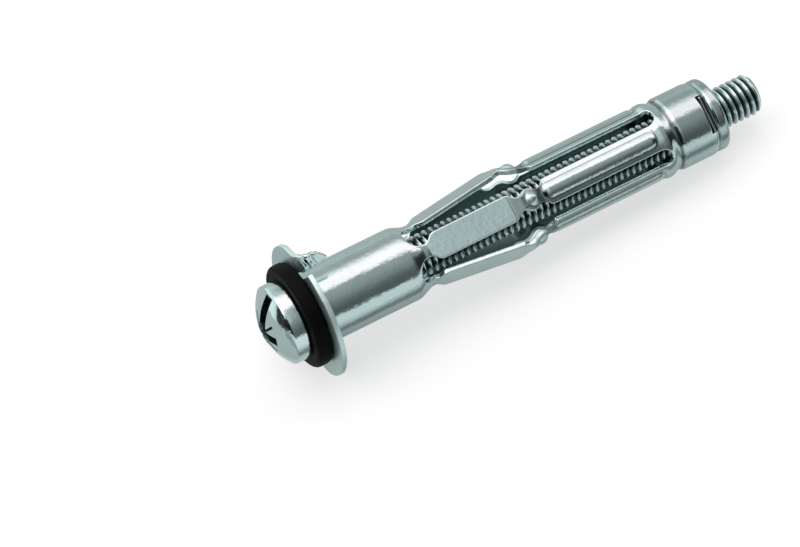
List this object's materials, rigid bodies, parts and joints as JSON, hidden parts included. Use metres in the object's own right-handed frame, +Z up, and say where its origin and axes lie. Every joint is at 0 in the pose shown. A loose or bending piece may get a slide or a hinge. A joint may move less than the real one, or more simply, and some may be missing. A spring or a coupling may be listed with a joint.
{
  "type": "metal hollow wall anchor",
  "caption": "Metal hollow wall anchor with a slotted sheet sleeve whose legs fold open, a clawed flange, a threaded insert, a black retaining ring and a pan head screw.",
  "frame": {"origin": "centre of the bounding box's bottom face, on the surface the anchor lies on", "axes": "+X along the anchor from the screw's head to its rear end, +Y across it, +Z up; the anchor's own axis lies in the XZ plane and falls 3.7 degrees towards +X"},
  "size_m": [0.0636, 0.0158, 0.0153],
  "materials": {
    "sleeve_plating": "bright zinc plated sheet steel",
    "insert_plating": "bright zinc plated steel",
    "black_ring": "matt black",
    "screw_plating": "bright zinc plated steel"
  },
  "bodies": {
    "anchor": {"sleeve": "sleeve_plating", "threaded_insert": "insert_plating"},
    "ring": {"retaining_ring": "black_ring"},
    "screw": {"screw": "screw_plating"}
  },
  "joints": [
    {"name": "ring_travel", "type": "slide", "parent": "anchor", "child": "ring", "axis": [-0.9979, 0, 0.0645], "range_m": [0, 0.0104]},
    {"name": "screw_turn", "type": "hinge", "parent": "ring", "child": "screw", "pos_m": [-0.02631, 0, 0.00767], "axis": [-0.9979, 0, 0.0645], "range_deg": [0, 4680]}
  ],
  "couplings": [
    {"joint": "screw_turn", "follows": "ring_travel", "rad_per_m": 7854}
  ]
}
